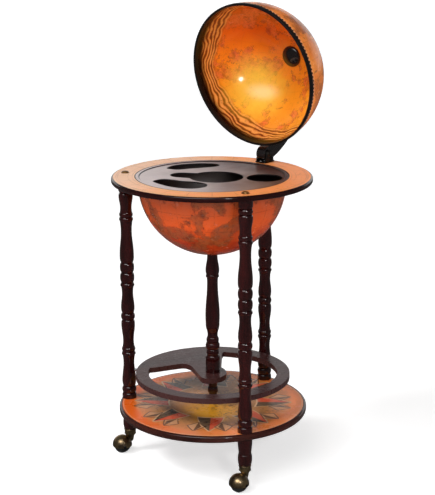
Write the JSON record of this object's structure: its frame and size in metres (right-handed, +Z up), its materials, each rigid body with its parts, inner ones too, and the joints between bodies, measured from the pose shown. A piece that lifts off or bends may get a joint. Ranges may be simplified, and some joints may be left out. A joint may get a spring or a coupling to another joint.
{
  "type": "floor globe bar",
  "caption": "Floor-standing globe bar: hinged globe lid over a bowl with a bottle and glass tray, on turned legs with a bottle tier, a round shelf and ball casters.",
  "frame": {"origin": "centre of the lower shelf's underside, on the axis of the shelf, the tier, the post, the bowl and the ring", "axes": "+Z up; +X to the right and +Y away from the viewer of the picture; the lid opens towards the azimuth of 50.6 degrees from +X"},
  "size_m": [0.4908, 0.51, 1.0453],
  "materials": {
    "mahogany": "dark mahogany stain under gloss lacquer",
    "tier_board": "dark mahogany stain under gloss lacquer, flat board",
    "printed_board": "board printed in old map tones, lacquered, dark stained edge",
    "globe_shell": "shell covered in printed paper of old map tones, gloss lacquered",
    "lid_shell": "shell covered in printed paper of old map tones inside and out, gloss lacquered",
    "tray_board": "grey brown stain under gloss lacquer",
    "black_lacquer": "black brown gloss lacquer",
    "black_plastic": "moulded, gloss",
    "black_metal": "black enamel",
    "bronze": "antique bronze, darkened in the hollows",
    "brass": "aged brass",
    "steel": "zinc plated",
    "wheel_black": "hard moulded wheel"
  },
  "bodies": {
    "root": {"bottom_shelf": "printed_board", "middle_tier": "tier_board", "horizon_ring": "printed_board", "leg_lower_left": "mahogany", "leg_upper_left": "mahogany", "leg_dowel_left": "steel", "leg_bolt_left": "steel", "foot_stud_left": "steel", "foot_left": "mahogany", "tier_pin_left": "steel", "caster_cup_left": "bronze", "ring_cap_left": "brass", "leg_lower_front_right": "mahogany", "leg_upper_front_right": "mahogany", "leg_dowel_front_right": "steel", "leg_bolt_front_right": "steel", "foot_stud_front_right": "steel", "foot_front_right": "mahogany", "tier_pin_front_right": "steel", "caster_cup_front_right": "bronze", "ring_cap_front_right": "brass", "leg_lower_back_right": "mahogany", "leg_upper_back_right": "mahogany", "leg_dowel_back_right": "steel", "leg_bolt_back_right": "steel", "foot_stud_back_right": "steel", "foot_back_right": "mahogany", "tier_pin_back_right": "steel", "caster_cup_back_right": "bronze", "post_lower": "mahogany", "post_upper": "mahogany", "post_stud": "steel", "post_base_stud": "steel", "bowl_bolt": "steel", "bowl": "globe_shell", "bowl_floor": "black_lacquer", "tray": "tray_board", "hinge_bracket": "black_metal", "hinge_pin": "steel", "bracket_screw_inner": "steel", "bracket_screw_outer": "steel"},
    "lid": {"meridian_arm": "black_lacquer", "lid_shell": "lid_shell", "lid_rim_band": "black_plastic", "pole_spacer": "black_plastic", "pole_bolt": "steel", "inner_cap": "black_plastic", "finial": "brass"},
    "caster_left": {"caster_hood_left": "bronze", "caster_axle_left": "steel"},
    "caster_front_right": {"caster_hood_front_right": "bronze", "caster_axle_front_right": "steel"},
    "caster_back_right": {"caster_hood_back_right": "bronze", "caster_axle_back_right": "steel"},
    "wheel_left": {"caster_wheel_left": "wheel_black"},
    "wheel_front_right": {"caster_wheel_front_right": "wheel_black"},
    "wheel_back_right": {"caster_wheel_back_right": "wheel_black"}
  },
  "joints": [
    {"name": "lid_hinge", "type": "hinge", "parent": "root", "child": "lid", "pos_m": [0.12192, 0.14949, 0.5727], "axis": [0.7749, -0.632, 0], "range_deg": [0, 79.7]},
    {"name": "swivel_left", "type": "hinge", "parent": "root", "child": "caster_left", "pos_m": [-0.19555, 0.03167, -0.0623], "axis": [0, 0, 1], "continuous": true},
    {"name": "swivel_front_right", "type": "hinge", "parent": "root", "child": "caster_front_right", "pos_m": [0.07035, -0.18519, -0.0623], "axis": [0, 0, 1], "continuous": true},
    {"name": "swivel_back_right", "type": "hinge", "parent": "root", "child": "caster_back_right", "pos_m": [0.12521, 0.15352, -0.0623], "axis": [0, 0, 1], "continuous": true},
    {"name": "roll_left", "type": "hinge", "parent": "caster_left", "child": "wheel_left", "pos_m": [-0.21435, 0.02483, -0.1004], "axis": [0.342, -0.9397, 0], "continuous": true},
    {"name": "roll_front_right", "type": "hinge", "parent": "caster_front_right", "child": "wheel_front_right", "pos_m": [0.05696, -0.20005, -0.1004], "axis": [0.7431, -0.6691, 0], "continuous": true},
    {"name": "roll_back_right", "type": "hinge", "parent": "caster_back_right", "child": "wheel_back_right", "pos_m": [0.10788, 0.14352, -0.1004], "axis": [0.5, -0.866, 0], "continuous": true}
  ]
}
